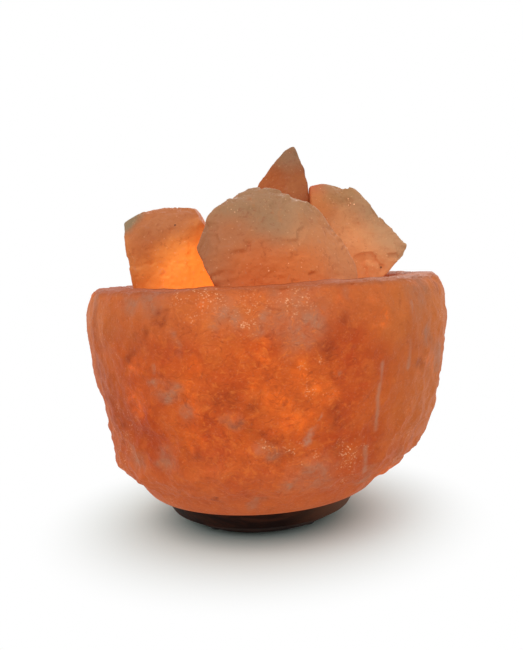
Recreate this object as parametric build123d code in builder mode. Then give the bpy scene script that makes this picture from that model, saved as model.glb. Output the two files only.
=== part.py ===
from build123d import *

import os
from math import asin, cos, pi, radians, sin, sqrt

# Salt fire-bowl lamp: a hewn salt bowl on a turned wooden base, heaped with loose broken
# salt and lit from inside by a small screw bulb in a pull-out lamp holder.
# Millimetres, +Z up. The origin is the middle of the underside, on the bulb's axis, at the
# level that the lamp stands on. The front faces -Y and the cord channel runs out at +Y.

os.makedirs("parts", exist_ok=True)

# ---- clearances
seat_gap = 0.3              # under a loose stone
stone_gap = 1.2             # between the stones of neighbouring columns
wall_gap = 0.6              # between a stone and the wall of the bowl
slip_gap = 0.1              # round a piece that is pushed into another
bulb_gap = 2.0              # over the top of the bulb
well_gap = 1.0              # between the edge of the bulb's bore and the lower stones

# ---- wooden base
pad_thickness = 1.5
pad_radius = 3.5
base_thickness = 15.5
base_top_radius = 48.5
base_foot_radius = 34.0
base_flank_bulge = 2.6
base_bands = 2
base_edge_height = 1.5
base_edge_bevel = 1.0
recess_margin = 0.6         # round the flange of the lamp holder
channel_margin = 1.2        # beside and over the cord
fixing_radius = 28.8        # circle of the screws and of the pads

# ---- salt bowl
bowl_height = 97.0
bowl_seat_radius = 51.0
knee_height = 22.0          # the underside turns into the wall here
knee_radius = 74.6
mouth_height = 77.0         # the widest level
mouth_radius = 85.0
lip_radius = 78.5           # outer edge of the flat rim
underside_bulge = 3.0       # how far both stretches of the outside bow out
flank_bulge = 1.2
bowl_lean = 7.0             # the hewn bowl stands off the bulb's axis, towards +X
cavity_radius = 66.0
cavity_floor_radius = 40.0
cavity_belly = 6.2          # how far the cavity's wall bows out
cavity_bands = 3
cavity_sides = 24
bowl_floor = 28.0           # salt under the cavity
rim_bevel = 2.0
bulb_bore_radius = 20.0
bowl_strokes = 26           # strokes of the carver's blade round the outside
stroke_bite = 1.2

# ---- lamp holder
holder_radius = 13.5
holder_length = 35.5
holder_wall = 1.6
flange_thickness = 1.5
flange_reach = 2.6          # past the edge of the bore
end_cap_inset = 1.0         # above the underside of the base
end_cap_wall = 1.5
cord_radius = 2.75
inlet_wall = 0.8
inlet_margin = 0.2          # above and below the inlet
inlet_reach = 3.5
terminal_room = 6.5
insulator_thickness = 6.0
sleeve_wall = 0.7
contact_height = 2.8
contact_width = 4.0
contact_thickness = 0.5
terminal_radius = 1.8
terminal_height = 2.6
terminal_offset = 7.0
slot_width = 0.6
collar_wall = 0.8
collar_height = 4.0
clip_thickness = 0.6
clip_width = 10.0
clip_rise = 25.0
clip_bow = 2.9

# ---- bulb
bulb_radius = 13.0
bulb_length = 55.0
bulb_neck_radius = 6.3
bulb_shoulder = 9.0        # height over which the neck swells to the tube
bulb_end = 8.0              # height of the blunt end
bulb_glass_wall = 0.8
bulb_cap_radius = 6.9
bulb_cap_length = 16.5
bulb_cap_wall = 0.4
bulb_tip_radius = 2.2
bulb_tip_height = 0.8
bulb_button_radius = 5.5
bulb_button_height = 1.4
stem_radius = 3.0
stem_length = 15.0
lead_radius = 0.25
lead_length = 12.0
lead_spread = 4.0
filament_radius = 0.35

# ---- fixings
screw_radius = 2.0
screw_length = 28.0
screw_head_radius = 3.4
screw_head_height = 2.6
head_inset = 1.0
screw_angles = (0, 180, 270)
plug_radius = 3.4
plug_length = 18.0
pad_angles = (45, 135, 225, 315)

# ---- heap of stones: the level where each column's lower stone ends
left_shelf = 76.0
front_shelf = 72.0
corner_shelf = 86.0
right_shelf = 79.0
right_ledge = 104.7         # second break in the right-hand column
back_left_shelf = 90.0
spire_ledge = 117.7         # second break in the back column

# ---- levels
base_bottom = pad_thickness
seat = base_bottom + base_thickness
rim = seat + bowl_height
cavity_floor = seat + bowl_floor
end_cap_bottom = base_bottom + end_cap_inset
inlet_height = end_cap_bottom + inlet_margin + cord_radius + inlet_wall
flange_bottom = inlet_height + cord_radius + inlet_wall + inlet_margin
flange_top = flange_bottom + flange_thickness
channel_top = inlet_height + cord_radius + channel_margin
holder_top = flange_top + holder_length
insulator_bottom = flange_top + terminal_room
insulator_top = insulator_bottom + insulator_thickness
tip_bottom = insulator_top + contact_height
button_bottom = tip_bottom + bulb_tip_height
bulb_cap_bottom = button_bottom + bulb_button_height
bulb_cap_top = bulb_cap_bottom + bulb_cap_length
bulb_top = tip_bottom + bulb_length
back_shelf = bulb_top + bulb_gap

# ---- radii
sleeve_bore = bulb_cap_radius + slip_gap
sleeve_radius = sleeve_bore + sleeve_wall
flange_radius = bulb_bore_radius + flange_reach
recess_radius = flange_radius + recess_margin
holder_bore = holder_radius - holder_wall
channel_width = 2 * (cord_radius + channel_margin)
collar_bore = holder_radius + slip_gap
collar_radius = collar_bore + collar_wall
inlet_radius = cord_radius + inlet_wall
bulb_side = bulb_radius + bulb_gap
far = 2 * mouth_radius      # longer than any piece, for cutting


def save(piece, name):
    """Labels a finished piece and writes it as one STEP file."""
    piece.part.label = name
    export_step(piece.part, f"parts/{name}.step")


def round_axis(radius, angles):
    """Points on a circle round the bulb's axis."""
    return [(radius * cos(radians(a)), radius * sin(radians(a))) for a in angles]


def turned(*outline, mode=Mode.ADD):
    """Turns a closed outline of (radius, height) points about the bulb's axis."""
    with BuildSketch(Plane.XZ) as half:
        with BuildLine():
            Polyline(*outline, close=True)
        make_face()
    revolve(half.sketch, axis=Axis.Z, mode=mode)


def banded(start, end, bow, count):
    """Points that break a bowed line into straight bands; it bows to the right of its way."""
    way = Vector(*end) - Vector(*start)
    aside = Vector(way.Y, -way.X).normalized() * bow
    shares = [i / count for i in range(count + 1)]
    points = [Vector(*start) + way * t + aside * sin(pi * t) for t in shares]
    return [(point.X, point.Y) for point in points]


# ---- salt bowl
def outer_radius(height):
    """Radius of the outside at a height above the seat."""
    if height <= knee_height:
        t = height / knee_height
        return bowl_seat_radius + (knee_radius - bowl_seat_radius) * t + underside_bulge * sin(pi * t)
    if height <= mouth_height:
        t = (height - knee_height) / (mouth_height - knee_height)
        return knee_radius + (mouth_radius - knee_radius) * t + flank_bulge * sin(pi * t)
    t = (height - mouth_height) / (bowl_height - mouth_height)
    return mouth_radius - (mouth_radius - lip_radius) * (1 - sqrt(1 - t * t))


def outer_lean(height):
    """How far the middle of the outside has leaned towards +X at that height."""
    return bowl_lean * sin(pi / 2 * min(1, 2 * height / bowl_height))


def ring(radius, height, middle_x, sides, turn=0.0):
    """Points evenly round a circle whose middle lies on the X axis."""
    angles = [2 * pi * (i + turn) / sides for i in range(sides)]
    return [(middle_x + radius * cos(a), radius * sin(a), height) for a in angles]


def hewn_ring(level, height):
    """Corners between the carver's strokes at one height; each stroke bites a little deeper or less."""
    corners = []
    for i in range(bowl_strokes):
        bite = stroke_bite * (0.5 + 0.5 * sin(9.0 * i + 4.0 * level))
        turn = 2 * pi * (i + level % 2 / 2 + 0.2 * sin(5.0 * i + level)) / bowl_strokes
        r = outer_radius(height) - bite
        corners.append((outer_lean(height) + r * cos(turn), r * sin(turn), seat + height))
    return corners


def share_out(low, high, *shares):
    """Heights at the given shares of the way from low to high."""
    return [low + (high - low) * share for share in shares]


hewn_heights = (
    share_out(0, knee_height, 0, 0.3, 0.65, 1)
    + share_out(knee_height, mouth_height, 0.3, 0.65, 1)
    + share_out(mouth_height, bowl_height, 0.5, 0.8, 1)
)
outside = [corner for level, height in enumerate(hewn_heights) for corner in hewn_ring(level, height)]

with BuildPart() as salt_bowl:
    ConvexPolyhedron(outside)
    cavity_wall = banded(
        (cavity_floor_radius, cavity_floor), (cavity_radius, rim), cavity_belly, cavity_bands
    )
    for low, high in zip(cavity_wall, cavity_wall[1:]):
        band = ring(*low, bowl_lean, cavity_sides) + ring(*high, bowl_lean, cavity_sides)
        ConvexPolyhedron(band, mode=Mode.SUBTRACT)
    bevel = ring(cavity_radius - rim_bevel, rim - 2 * rim_bevel, bowl_lean, cavity_sides)
    bevel += ring(cavity_radius + rim_bevel, rim, bowl_lean, cavity_sides)
    ConvexPolyhedron(bevel, mode=Mode.SUBTRACT)
    with BuildSketch(Plane.XY.offset(seat)):
        Circle(bulb_bore_radius)
    extrude(amount=bowl_floor, mode=Mode.SUBTRACT)
    with BuildSketch(Plane.XY.offset(seat)):
        with Locations(*round_axis(fixing_radius, screw_angles)):
            Circle(plug_radius + slip_gap)
    extrude(amount=plug_length + slip_gap, mode=Mode.SUBTRACT)
save(salt_bowl, "salt_bowl")

# ---- wooden base, its screws, wall plugs and pads
with BuildPart() as wooden_base:
    with BuildSketch(Plane.XZ):
        with BuildLine():
            foot = (base_foot_radius, base_bottom)
            edge = (base_top_radius, seat - base_edge_height)
            Polyline(
                (recess_radius, base_bottom),
                *banded(foot, edge, base_flank_bulge, base_bands),
                (base_top_radius - base_edge_bevel, seat),
                (bulb_bore_radius, seat),
                (bulb_bore_radius, flange_top),
                (recess_radius, flange_top),
                close=True,
            )
        make_face()
    revolve(axis=Axis.Z)
    with BuildSketch(Plane.XY.offset(base_bottom)):
        with Locations((0, recess_radius - channel_width / 2)):
            Rectangle(channel_width, base_top_radius, align=(Align.CENTER, Align.MIN))
    extrude(amount=channel_top - base_bottom, mode=Mode.SUBTRACT)
    underside = Plane((0, 0, base_bottom), x_dir=(1, 0, 0), z_dir=(0, 0, -1))
    with Locations(underside):
        with Locations(*[(x, -y) for x, y in round_axis(fixing_radius, screw_angles)]):
            CounterBoreHole(
                radius=screw_radius + slip_gap,
                counter_bore_radius=screw_head_radius + seat_gap,
                counter_bore_depth=head_inset + screw_head_height,
                depth=base_thickness,
            )
save(wooden_base, "wooden_base")

head_bottom = base_bottom + head_inset
with BuildPart() as base_screws:
    with BuildSketch(Plane.XY.offset(head_bottom)):
        with Locations(*round_axis(fixing_radius, screw_angles)):
            Circle(screw_head_radius)
    extrude(amount=screw_head_height)
    with BuildSketch(Plane.XY.offset(head_bottom + screw_head_height)):
        with Locations(*round_axis(fixing_radius, screw_angles)):
            Circle(screw_radius)
    extrude(amount=screw_length)
    with BuildSketch(Plane.XY.offset(head_bottom)):
        with Locations(*round_axis(fixing_radius, screw_angles)):
            Rectangle(2 * screw_head_radius, slot_width)
    extrude(amount=screw_head_height / 2, mode=Mode.SUBTRACT)
save(base_screws, "base_screws")

with BuildPart() as wall_plugs:
    with BuildSketch(Plane.XY.offset(seat)):
        with Locations(*round_axis(fixing_radius, screw_angles)):
            Circle(plug_radius)
            Circle(screw_radius + slip_gap, mode=Mode.SUBTRACT)
    extrude(amount=plug_length)
save(wall_plugs, "wall_plugs")

with BuildPart() as foot_pads:
    with BuildSketch(Plane.XY):
        with Locations(*round_axis(fixing_radius, pad_angles)):
            Circle(pad_radius)
    extrude(amount=pad_thickness)
save(foot_pads, "foot_pads")

# ---- lamp holder, which pulls out downwards
with BuildPart() as holder_shell:
    turned(
        (holder_bore, flange_bottom),
        (flange_radius, flange_bottom),
        (flange_radius, flange_top),
        (holder_radius, flange_top),
        (holder_radius, holder_top),
        (sleeve_radius + slip_gap, holder_top),
        (sleeve_radius + slip_gap, holder_top - holder_wall),
        (holder_bore, holder_top - holder_wall),
    )
    chamfer(holder_shell.edges().group_by(Axis.Z)[-1].sort_by(SortBy.LENGTH)[-1], holder_wall / 2)
save(holder_shell, "holder_shell")

with BuildPart() as end_cap:
    with BuildSketch(Plane.XY.offset(end_cap_bottom)):
        Circle(holder_radius)
    extrude(amount=flange_bottom - end_cap_bottom)
    with BuildSketch(Plane.XZ):
        with Locations((0, inlet_height)):
            Circle(inlet_radius)
    extrude(amount=-holder_radius - inlet_reach)
    with BuildSketch(Plane.XY.offset(end_cap_bottom + end_cap_wall)):
        Circle(holder_radius - end_cap_wall)
    extrude(amount=flange_bottom - end_cap_bottom, mode=Mode.SUBTRACT)
    with BuildSketch(Plane.XZ.offset(2 * end_cap_wall - holder_radius)):
        with Locations((0, inlet_height)):
            Circle(cord_radius)
    extrude(amount=-2 * end_cap_wall - inlet_reach, mode=Mode.SUBTRACT)
save(end_cap, "end_cap")

with BuildPart() as holder_insulator:
    turned(
        (0, insulator_bottom),
        (holder_bore - slip_gap, insulator_bottom),
        (holder_bore - slip_gap, insulator_top),
        (0, insulator_top),
    )
save(holder_insulator, "holder_insulator")

with BuildPart() as thread_sleeve:
    turned(
        (sleeve_bore, insulator_top),
        (sleeve_radius, insulator_top),
        (sleeve_radius, holder_top - slip_gap),
        (sleeve_bore, holder_top - slip_gap),
    )
save(thread_sleeve, "thread_sleeve")

with BuildPart() as centre_contact:
    with BuildSketch(Plane.XZ):
        with BuildLine():
            half = sleeve_bore - 2 * slip_gap - contact_width / 2
            Polyline(
                (-half, insulator_top),
                (half, insulator_top),
                (half, insulator_top + contact_thickness),
                (0, insulator_top + 2 * contact_thickness),
                (half / 2, tip_bottom - contact_thickness),
                (half / 2, tip_bottom),
                (-half / 2, tip_bottom),
                (-half / 2, tip_bottom - contact_thickness),
                (0, insulator_top + contact_thickness),
                (-half, insulator_top + contact_thickness),
                close=True,
            )
        make_face()
    extrude(amount=contact_width / 2, both=True)
save(centre_contact, "centre_contact")

with BuildPart() as terminal_screws:
    spots = [(-terminal_offset, 0), (terminal_offset, 0)]
    with BuildSketch(Plane.XY.offset(insulator_bottom - terminal_height)):
        with Locations(*spots):
            Circle(terminal_radius)
    extrude(amount=terminal_height)
    with BuildSketch(Plane.XY.offset(insulator_bottom - terminal_height)):
        with Locations(*spots):
            Rectangle(2 * terminal_radius, slot_width)
    extrude(amount=terminal_height / 2, mode=Mode.SUBTRACT)
save(terminal_screws, "terminal_screws")

with BuildPart() as clip_collar:
    turned(
        (collar_bore, flange_top),
        (collar_radius, flange_top),
        (collar_radius, flange_top + collar_height),
        (collar_bore, flange_top + collar_height),
    )
save(clip_collar, "clip_collar")

clip_foot = collar_radius + seat_gap + clip_thickness / 2
clip_knee = (clip_foot + clip_bow, flange_top + 0.7 * clip_rise)
clip_tip = (clip_foot + 0.7 * clip_bow, flange_top + clip_rise)
for name, side in (("clip_left", -1), ("clip_right", 1)):
    with BuildPart() as clip:
        with BuildSketch(Plane.XZ):
            with BuildLine():
                Polyline(
                    (side * clip_foot, flange_top + seat_gap),
                    (side * clip_foot, flange_top + collar_height),
                    (side * clip_knee[0], clip_knee[1]),
                    (side * clip_tip[0], clip_tip[1]),
                )
            trace(line_width=clip_thickness)
        extrude(amount=clip_width / 2, both=True)
    save(clip, name)

# ---- bulb, which unscrews from the holder
neck_foot = bulb_cap_top - bulb_cap_length / 2
shoulder_foot = holder_top + seat_gap


def glass_profile(inset):
    """The envelope's half outline, drawn in by inset: neck, shoulder, tube and round end."""
    radius = bulb_radius - inset
    neck = bulb_neck_radius - inset
    return [
        (0, neck_foot),
        (neck, neck_foot),
        (neck, shoulder_foot),
        (radius, shoulder_foot + bulb_shoulder),
        (radius, bulb_top - bulb_end),
        (radius - 0.6 * bulb_end, bulb_top - inset),
        (0, bulb_top - inset),
    ]


with BuildPart() as bulb_glass:
    turned(*glass_profile(0))
    turned(*glass_profile(bulb_glass_wall), mode=Mode.SUBTRACT)
save(bulb_glass, "bulb_glass")

with BuildPart() as bulb_cap:
    turned(
        (bulb_tip_radius, bulb_cap_bottom),
        (bulb_cap_radius, bulb_cap_bottom),
        (bulb_cap_radius, bulb_cap_top),
        (bulb_cap_radius - bulb_cap_wall, bulb_cap_top),
        (bulb_cap_radius - bulb_cap_wall, bulb_cap_bottom + bulb_cap_wall),
        (bulb_tip_radius, bulb_cap_bottom + bulb_cap_wall),
    )
save(bulb_cap, "bulb_cap")

with BuildPart() as bulb_button:
    with BuildSketch(Plane.XY.offset(button_bottom)):
        Circle(bulb_button_radius)
    extrude(amount=bulb_button_height)
save(bulb_button, "bulb_button")

with BuildPart() as bulb_tip:
    with BuildSketch(Plane.XY.offset(tip_bottom)):
        Circle(bulb_tip_radius)
    extrude(amount=bulb_tip_height)
save(bulb_tip, "bulb_tip")

stem_foot_radius = bulb_neck_radius - bulb_glass_wall - slip_gap
stem_top = neck_foot + stem_length
with BuildPart() as bulb_stem:
    with BuildSketch(Plane.XY.offset(neck_foot)):
        Circle(stem_foot_radius)
    extrude(amount=bulb_glass_wall)
    with BuildSketch(Plane.XY.offset(neck_foot + bulb_glass_wall)):
        Circle(stem_radius)
    extrude(amount=stem_length - bulb_glass_wall)
save(bulb_stem, "bulb_stem")

with BuildPart() as bulb_leads:
    for side in (-1, 1):
        lead_path = ((side * stem_radius / 4, 0, stem_top), (side * lead_spread, 0, stem_top + lead_length))
        way = Vector(*lead_path[1]) - Vector(*lead_path[0])
        with BuildSketch(Plane(origin=lead_path[0], z_dir=way)):
            Circle(lead_radius)
        extrude(amount=way.length)
save(bulb_leads, "bulb_leads")

with BuildPart() as bulb_filament:
    with BuildSketch(Plane.YZ.offset(-lead_spread)):
        with Locations((0, stem_top + lead_length + filament_radius + lead_radius)):
            Circle(filament_radius)
    extrude(amount=2 * lead_spread)
save(bulb_filament, "bulb_filament")

# ---- stones
# Seen from above the heap stands in six columns that share these corners.
hub_left = (-6.5, -10.5)
hub_right = (31.5, -10.5)
hub_back = (-6.5, 24.0)
gate = (50.0, -31.0)
left_front = (-90.0, -62.0)
left_back = (-90.0, 44.0)
column_outlines = {
    "left": (hub_left, hub_back, left_back, left_front),
    "back_left": (hub_back, (hub_back[0], far), (left_back[0], far), left_back),
    "back": (hub_left, hub_right, (hub_right[0], far), (hub_left[0], far)),
    "right": (hub_right, (far, hub_right[1]), (far, far), (hub_right[0], far)),
    "corner": (hub_right, gate, (gate[0] + 20, -far), (far, -far), (far, hub_right[1])),
    "front": (hub_left, left_front, (left_front[0], -far), (gate[0] + 20, -far), gate, hub_right),
}


def filling(bottom, top):
    """The many-sided cone that fills the cavity, just clear of its wall, from bottom to top."""
    spread = (cavity_radius - cavity_floor_radius) / (rim - cavity_floor)
    corners = []
    for level in (bottom, top):
        reach = cavity_floor_radius - wall_gap + spread * (level - cavity_floor)
        corners += ring(reach, level, bowl_lean, cavity_sides)
    ConvexPolyhedron(corners)


def keep_column(name, top):
    """Keeps what stands in one column, half a gap inside its outline."""
    with BuildSketch(Plane.XY) as column:
        with BuildLine():
            Polyline(*column_outlines[name], close=True)
        make_face()
        offset(amount=-stone_gap / 2, kind=Kind.INTERSECTION)
    extrude(column.sketch, amount=top, mode=Mode.INTERSECT)


def keep_front_view(*outline):
    """Keeps what lies inside an outline of (x, z) points seen from the front."""
    with BuildSketch(Plane.XZ) as view:
        with BuildLine():
            Polyline(*outline, close=True)
        make_face()
    extrude(view.sketch, amount=far, both=True, mode=Mode.INTERSECT)


def break_off(spot, outward):
    """Breaks away what lies beyond a flat through a spot."""
    split(bisect_by=Plane(origin=spot, z_dir=outward), keep=Keep.BOTTOM)


def keep_side_view(*outline):
    """Keeps what lies inside an outline of (y, z) points seen from the right."""
    with BuildSketch(Plane.YZ) as view:
        with BuildLine():
            Polyline(*outline, close=True)
        make_face()
    extrude(view.sketch, amount=far, both=True, mode=Mode.INTERSECT)


# Lower stones fill the foot of their columns; each is broken off towards the bulb's bore.
well_radius = bulb_bore_radius + well_gap
lower_bottom = cavity_floor + seat_gap
lower_stones = {
    "left": (left_shelf, (-1, 0)),
    "front": (front_shelf, (0, -1)),
    "corner": (corner_shelf, (1, -1)),
    "right": (right_shelf, (1, 0)),
    "back": (back_shelf, (0, 1)),
    "back_left": (back_left_shelf, (-1, 2)),
}
for column, (shelf, way) in lower_stones.items():
    with BuildPart() as stone:
        filling(lower_bottom, shelf)
        keep_column(column, shelf)
        inward = -Vector(*way, 0).normalized()
        break_off(-inward * well_radius, inward)
    save(stone, f"stone_{column}_lower")

# The ledges carry a second stone in the two tallest columns.
with BuildPart() as stone_right_middle:
    filling(right_shelf + seat_gap, right_ledge)
    keep_column("right", right_ledge)
    break_off((40, 0, right_ledge), (-1, -1, 1.2))
    break_off((60, 26, right_ledge), (1, 1, 0.6))
save(stone_right_middle, "stone_right_middle")

with BuildPart() as stone_back_middle:
    filling(back_shelf + seat_gap, spire_ledge)
    keep_column("back", spire_ledge)
    break_off((12, 46, spire_ledge), (0, 1, 0.25))
    break_off((-2, 36, spire_ledge), (-1, 0.8, 0.5))
save(stone_back_middle, "stone_back_middle")

# The stones that show above the rim
with BuildPart() as stone_left_block:
    filling(left_shelf + seat_gap, 151)
    keep_column("left", 151)
    keep_front_view(
        (-47.5, left_shelf),
        (-57.2, 114),
        (-59.4, 141.5),
        (-49, 147.2),
        (-35, 149.9),
        (-22.5, 148.4),
        (-16.5, 136),
        (-bulb_side, left_shelf),
    )
    keep_side_view(
        (-17, left_shelf),
        (-23, 118),
        (-21, 140),
        (-9, 151),
        (13, 150),
        (24, 141),
        (26, 112),
        (20, left_shelf),
    )
    break_off((-50, -16, 143), (-0.8, -1, 0.9))
    break_off((-26, -19, 146), (0.6, -1, 0.8))
save(stone_left_block, "stone_left_block")

with BuildPart() as stone_front_boulder:
    filling(front_shelf + seat_gap, 155)
    keep_column("front", 155)
    keep_front_view(
        (-16, front_shelf),
        (-29, 100),
        (-24.5, 123.5),
        (-16, 143),
        (-9.3, 149.1),
        (1.6, 154.8),
        (8, 154.9),
        (17, 152.3),
        (30.4, 144.3),
        (40.9, 130.6),
        (47.4, 118),
        (44, 96),
        (32, front_shelf),
    )
    keep_side_view(
        (-52, front_shelf),
        (-59, 104),
        (-56, 128),
        (-44, 146),
        (-33, 155),
        (-22, 154),
        (-12, 138),
        (-11, 104),
        (-bulb_side, front_shelf),
    )
    break_off((-22, -50, 118), (-1, -1, 0.35))
    break_off((30, -52, 122), (1, -1.2, 0.6))
    break_off((-16, -28, 143), (-1, 0.5, 1))
save(stone_front_boulder, "stone_front_boulder")

with BuildPart() as stone_corner_top:
    filling(corner_shelf + seat_gap, 110)
    keep_column("corner", 110)
    break_off((48, -14, 109), (-0.5, 0.6, 1.4))
    break_off((62, -22, 104), (1, -0.4, 1))
save(stone_corner_top, "stone_corner_top")

with BuildPart() as stone_right_slab:
    filling(right_ledge + seat_gap, 159)
    keep_column("right", 159)
    keep_front_view(
        (31, right_ledge),
        (31.6, 155.6),
        (47, 158),
        (64, 149),
        (74.4, 133.5),
        (79.3, 124.1),
        (66.7, 113.2),
        (57.2, right_ledge),
    )
    keep_side_view(
        (-8, right_ledge),
        (-10, 122),
        (2, 150),
        (10, 158.5),
        (19, 157),
        (31, 138),
        (36, 118),
        (32, right_ledge),
    )
save(stone_right_slab, "stone_right_slab")

with BuildPart() as stone_back_spire:
    filling(spire_ledge + seat_gap, 179)
    keep_column("back", 179)
    keep_front_view(
        (-4, spire_ledge),
        (-1.5, 140),
        (6.4, 160.8),
        (20.5, 176.5),
        (25.8, 178.9),
        (30.9, 166),
        (30.9, spire_ledge),
    )
    keep_side_view(
        (2, spire_ledge),
        (8, 150),
        (20, 178),
        (26, 178.9),
        (38, 160),
        (46, 130),
        (44, spire_ledge),
    )
save(stone_back_spire, "stone_back_spire")

with BuildPart() as stone_back_left_top:
    filling(back_left_shelf + seat_gap, 130)
    keep_column("back_left", 130)
    break_off((-26, 40, 128), (-0.3, 0.2, 1))
    break_off((-40, 40, 112), (-1, 0.6, 0.8))
    break_off((-12, 52, 114), (0.5, 1, 0.7))
save(stone_back_left_top, "stone_back_left_top")
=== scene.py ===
import math
import time
from itertools import product

import bpy
import numpy as np
from mathutils import Matrix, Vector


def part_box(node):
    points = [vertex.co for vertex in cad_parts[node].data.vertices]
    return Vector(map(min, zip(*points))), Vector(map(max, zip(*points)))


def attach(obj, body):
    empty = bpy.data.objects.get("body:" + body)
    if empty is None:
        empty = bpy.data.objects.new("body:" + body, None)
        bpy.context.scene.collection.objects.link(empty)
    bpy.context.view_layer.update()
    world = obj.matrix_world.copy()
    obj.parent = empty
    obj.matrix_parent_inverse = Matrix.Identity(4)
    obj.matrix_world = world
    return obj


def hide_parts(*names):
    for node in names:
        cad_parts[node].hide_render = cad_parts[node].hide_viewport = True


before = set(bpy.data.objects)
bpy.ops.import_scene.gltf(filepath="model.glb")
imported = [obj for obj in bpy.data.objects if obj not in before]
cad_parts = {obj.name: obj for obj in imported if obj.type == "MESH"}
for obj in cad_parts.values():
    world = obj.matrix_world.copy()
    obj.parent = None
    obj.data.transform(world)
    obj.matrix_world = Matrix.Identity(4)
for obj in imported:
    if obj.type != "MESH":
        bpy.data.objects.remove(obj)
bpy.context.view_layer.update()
clock = time.time()
mm = 0.001


def report(stage):
    print(f"{stage}, {time.time() - clock:.0f} s")


report("frame loaded")

# Shapes are worked out in millimetres as whole numpy arrays and put into meshes in metres.

hashing = {
    "axes": (374761393, 668265263, 1440662683),
    "seed": 1274126177,
    "folds": ((13, 1274126177), (16, 2246822519)),
    "lastFold": 15,
    "largest": 0xFFFFFFFF,
}


def cellNumber(cell, seed):
    # One steady number from 0 to 1 for each cell of space: its three whole coordinates and the
    # seed, each times a large odd number, are added, and the sum is folded onto its own low bits
    # three times, with a product after each of the first two.
    s = hashing
    mixed = sum(cell[..., axis] * factor for axis, factor in enumerate(s["axes"])) + seed * s["seed"]
    mixed = mixed & s["largest"]
    for shift, factor in s["folds"]:
        mixed = (mixed ^ (mixed >> shift)) * factor & s["largest"]
    return (mixed ^ (mixed >> s["lastFold"])) / s["largest"]


def lumps(place, size, seed):
    # Smooth noise from -1 to 1: the numbers of the eight cell corners round each point, blended
    # along each axis by 3t² - 2t³.
    cell = np.floor(place / size).astype(np.int64)
    t = place / size - cell
    t = t * t * (3 - 2 * t)
    total = 0
    for corner in product((0, 1), repeat=3):
        weight = np.prod(np.where(corner, t, 1 - t), axis=-1)
        total = total + weight * cellNumber(cell + corner, seed)
    return 2 * total - 1


def crumple(place, size, seed, layers=4):
    # Noise on noise, mostly between -1 and 1: each layer is half as large and half as deep.
    total, depth = 0, 1.0
    for layer in range(layers):
        total = total + depth * lumps(place, size * 0.5 ** layer, seed + layer)
        depth *= 0.5
    return total


scoopReach = 0.8      # the squared distance, in cells, at which a scoop runs out
spotSeeds = (0, 17, 31)


def scoops(place, size, seed):
    # Shell-shaped breaks: 1 at the middle of each scoop, falling with the square of the distance
    # to the nearest of one seed point per cell, and 0 on the sharp ridges far from any.
    cell = np.floor(place / size).astype(np.int64)
    nearest = np.full(place.shape[:-1], np.inf)
    for step in product((-1, 0, 1), repeat=3):
        other = cell + step
        spot = other + np.stack([cellNumber(other, seed + k) for k in spotSeeds], axis=-1)
        nearest = np.minimum(nearest, ((place / size - spot) ** 2).sum(axis=-1))
    return np.clip(1 - nearest / scoopReach, 0, 1)


def stir(place, size, seed):
    # A shaking from -1 to 1 along each axis, by three smooth noises.
    return np.stack([lumps(place, size, seed + axis) for axis in range(3)], axis=-1)


def roughen(depth, points, s, seed):
    # A depth with a crumple and a fine grain added, each between 0 and about its own depth.
    depth = depth + s["crumpleDepth"] * (1 + crumple(points, s["crumpleSize"], seed + 3)) / 2
    return depth + s["grainDepth"] * (1 + crumple(points, s["grainSize"], seed + 5, 2)) / 2


def smoothStep(low, high, value):
    # 0 at low, 1 at high, 3t² - 2t³ between and level beyond, also where high is the smaller.
    t = np.clip((value - low) / (high - low), 0, 1)
    return t * t * (3 - 2 * t)


def gridNormals(points, loopRows):
    # The cross product of the steps to the neighbours along the two directions of the grid.
    aroundStep = np.roll(points, -1, axis=1) - np.roll(points, 1, axis=1)
    if loopRows:
        alongStep = np.roll(points, -1, axis=0) - np.roll(points, 1, axis=0)
    else:
        alongStep = np.gradient(points, axis=0)
    normal = np.cross(aroundStep, alongStep)
    return normal / np.maximum(np.linalg.norm(normal, axis=-1, keepdims=True), 1e-9)


def addObject(name, data):
    made = bpy.data.objects.new(name, data)
    bpy.context.collection.objects.link(made)
    return made


def gridMesh(name, points, loopRows=False, poles=None, marks=None):
    # A closed skin over rows x columns of points. Columns always close round; rows close when
    # loopRows, or else each end closes in a fan on its pole. Each entry of marks is kept as a
    # number on every point, for the material.
    rows, columns = points.shape[:2]
    index = np.arange(rows * columns).reshape(rows, columns)
    right = np.roll(index, -1, axis=1)
    upper = np.roll(index, -1, axis=0)
    upperRight = np.roll(right, -1, axis=0)
    quads = np.stack([index, right, upperRight, upper], axis=-1)
    quads = quads if loopRows else quads[:-1]
    faces = quads.reshape(-1, 4)
    vertices = points.reshape(-1, 3)
    corners = faces.ravel()
    sizes = np.full(len(faces), 4)
    if poles is not None:
        bottom, top = rows * columns, rows * columns + 1
        vertices = np.vstack([vertices, poles])
        low = np.stack([np.full(columns, bottom), right[0], index[0]], axis=-1)
        high = np.stack([np.full(columns, top), index[-1], right[-1]], axis=-1)
        corners = np.concatenate([corners, low.ravel(), high.ravel()])
        sizes = np.concatenate([sizes, np.full(2 * columns, 3)])
    mesh = bpy.data.meshes.new(name)
    mesh.vertices.add(len(vertices))
    mesh.vertices.foreach_set("co", (vertices * mm).ravel().astype(np.float32))
    mesh.loops.add(len(corners))
    mesh.loops.foreach_set("vertex_index", corners.astype(np.int32))
    mesh.polygons.add(len(sizes))
    mesh.polygons.foreach_set("loop_start", (np.cumsum(sizes) - sizes).astype(np.int32))
    mesh.update(calc_edges=True)
    mesh.validate()
    mesh.polygons.foreach_set("use_smooth", np.ones(len(mesh.polygons), dtype=bool))
    for mark, share in (marks or {}).items():
        values = mesh.attributes.new(mark, "FLOAT", "POINT").data
        values.foreach_set("value", share.ravel().astype(np.float32))
    return addObject(name, mesh)


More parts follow.
